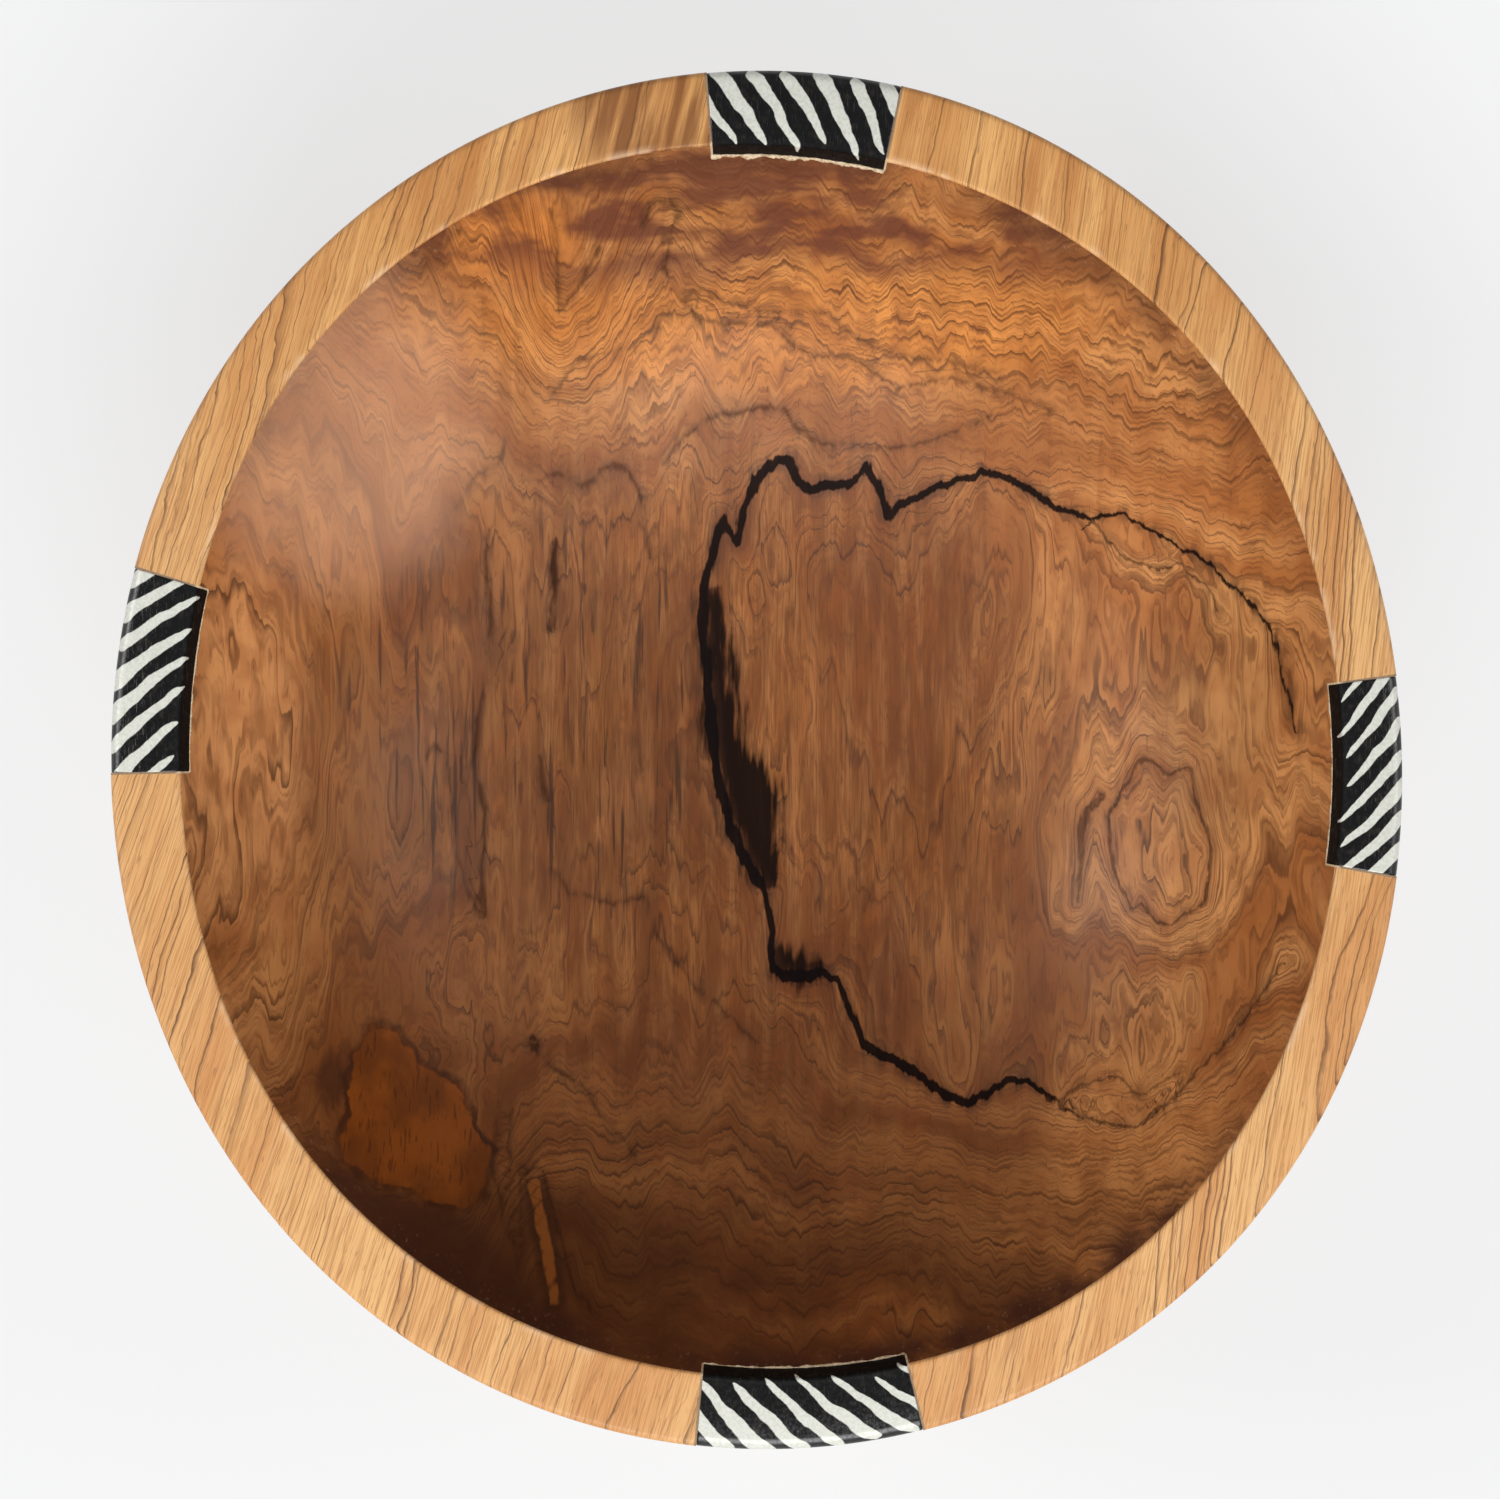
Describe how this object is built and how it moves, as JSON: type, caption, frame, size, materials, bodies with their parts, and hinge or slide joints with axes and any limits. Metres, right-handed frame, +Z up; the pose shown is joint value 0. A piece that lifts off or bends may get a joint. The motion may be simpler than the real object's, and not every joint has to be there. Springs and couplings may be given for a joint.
{
  "type": "carved wooden bowl",
  "caption": "Round carved wooden bowl with a broad flat rim, a flat foot, and dark and white striped bone inlays let into the rim.",
  "frame": {"origin": "centre of the bowl's own box, on the plane that its flat foot stands on", "axes": "+Z up out of the mouth, +Y along the wood's grain and the bowl's long axis, +X to the right"},
  "size_m": [0.286, 0.3054, 0.1],
  "materials": {
    "wood": "satin",
    "filler": "matte",
    "dyed_bone": "gloss"
  },
  "bodies": {
    "root": {"bowl_body": "wood", "glue_bed_right": "filler", "glue_bed_back": "filler", "glue_bed_left": "filler", "glue_bed_front": "filler", "bone_inlay_right": "dyed_bone", "bone_inlay_back": "dyed_bone", "bone_inlay_left": "dyed_bone", "bone_inlay_front": "dyed_bone"}
  },
  "joints": []
}
